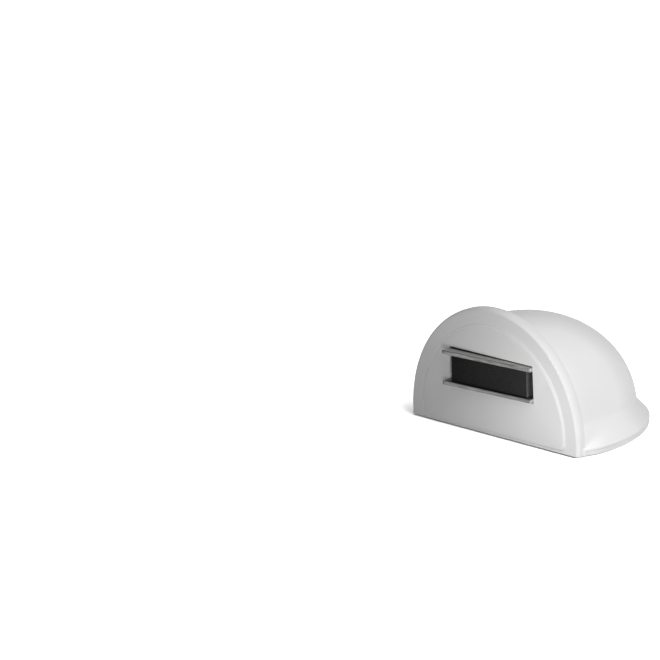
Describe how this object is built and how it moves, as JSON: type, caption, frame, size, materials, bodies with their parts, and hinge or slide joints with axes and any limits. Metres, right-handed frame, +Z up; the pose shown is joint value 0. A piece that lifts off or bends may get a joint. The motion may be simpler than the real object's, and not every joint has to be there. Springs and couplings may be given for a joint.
{
  "type": "magnetic door stop",
  "caption": "Floor-standing magnetic door stop: a white half-dome moulding on a flared foot, with a steel-plated magnet pack standing out of its flat front face.",
  "frame": {"origin": "on the floor, under the adhesive pad, at the centre of the foot's ellipse; the arch and dome centre line passes straight above it", "axes": "+X along the front face, to the right as the door sees it; -Y out of the front face, towards the door; +Z up"},
  "size_m": [0.074, 0.0573, 0.0392],
  "materials": {
    "white_moulding": "white moulded plastic, satin gloss",
    "pole_steel": "plain rolled steel strip, streaked along its length",
    "ferrite": "ground ferrite, dark grey and dull",
    "black_moulding": "black moulded plastic",
    "base_moulding": "white moulded plastic, same as the housing",
    "screw_steel": "zinc-plated steel",
    "pad_foam": "dark grey acrylic foam tape"
  },
  "bodies": {
    "root": {"housing": "white_moulding", "upper_pole_plate": "pole_steel", "lower_pole_plate": "pole_steel", "ferrite_magnet": "ferrite", "magnet_cradle": "black_moulding", "cradle_screw_left": "screw_steel", "cradle_screw_right": "screw_steel", "base_plate": "base_moulding", "base_screw_1": "screw_steel", "base_screw_2": "screw_steel", "base_screw_3": "screw_steel", "base_screw_4": "screw_steel", "adhesive_pad": "pad_foam"}
  },
  "joints": []
}
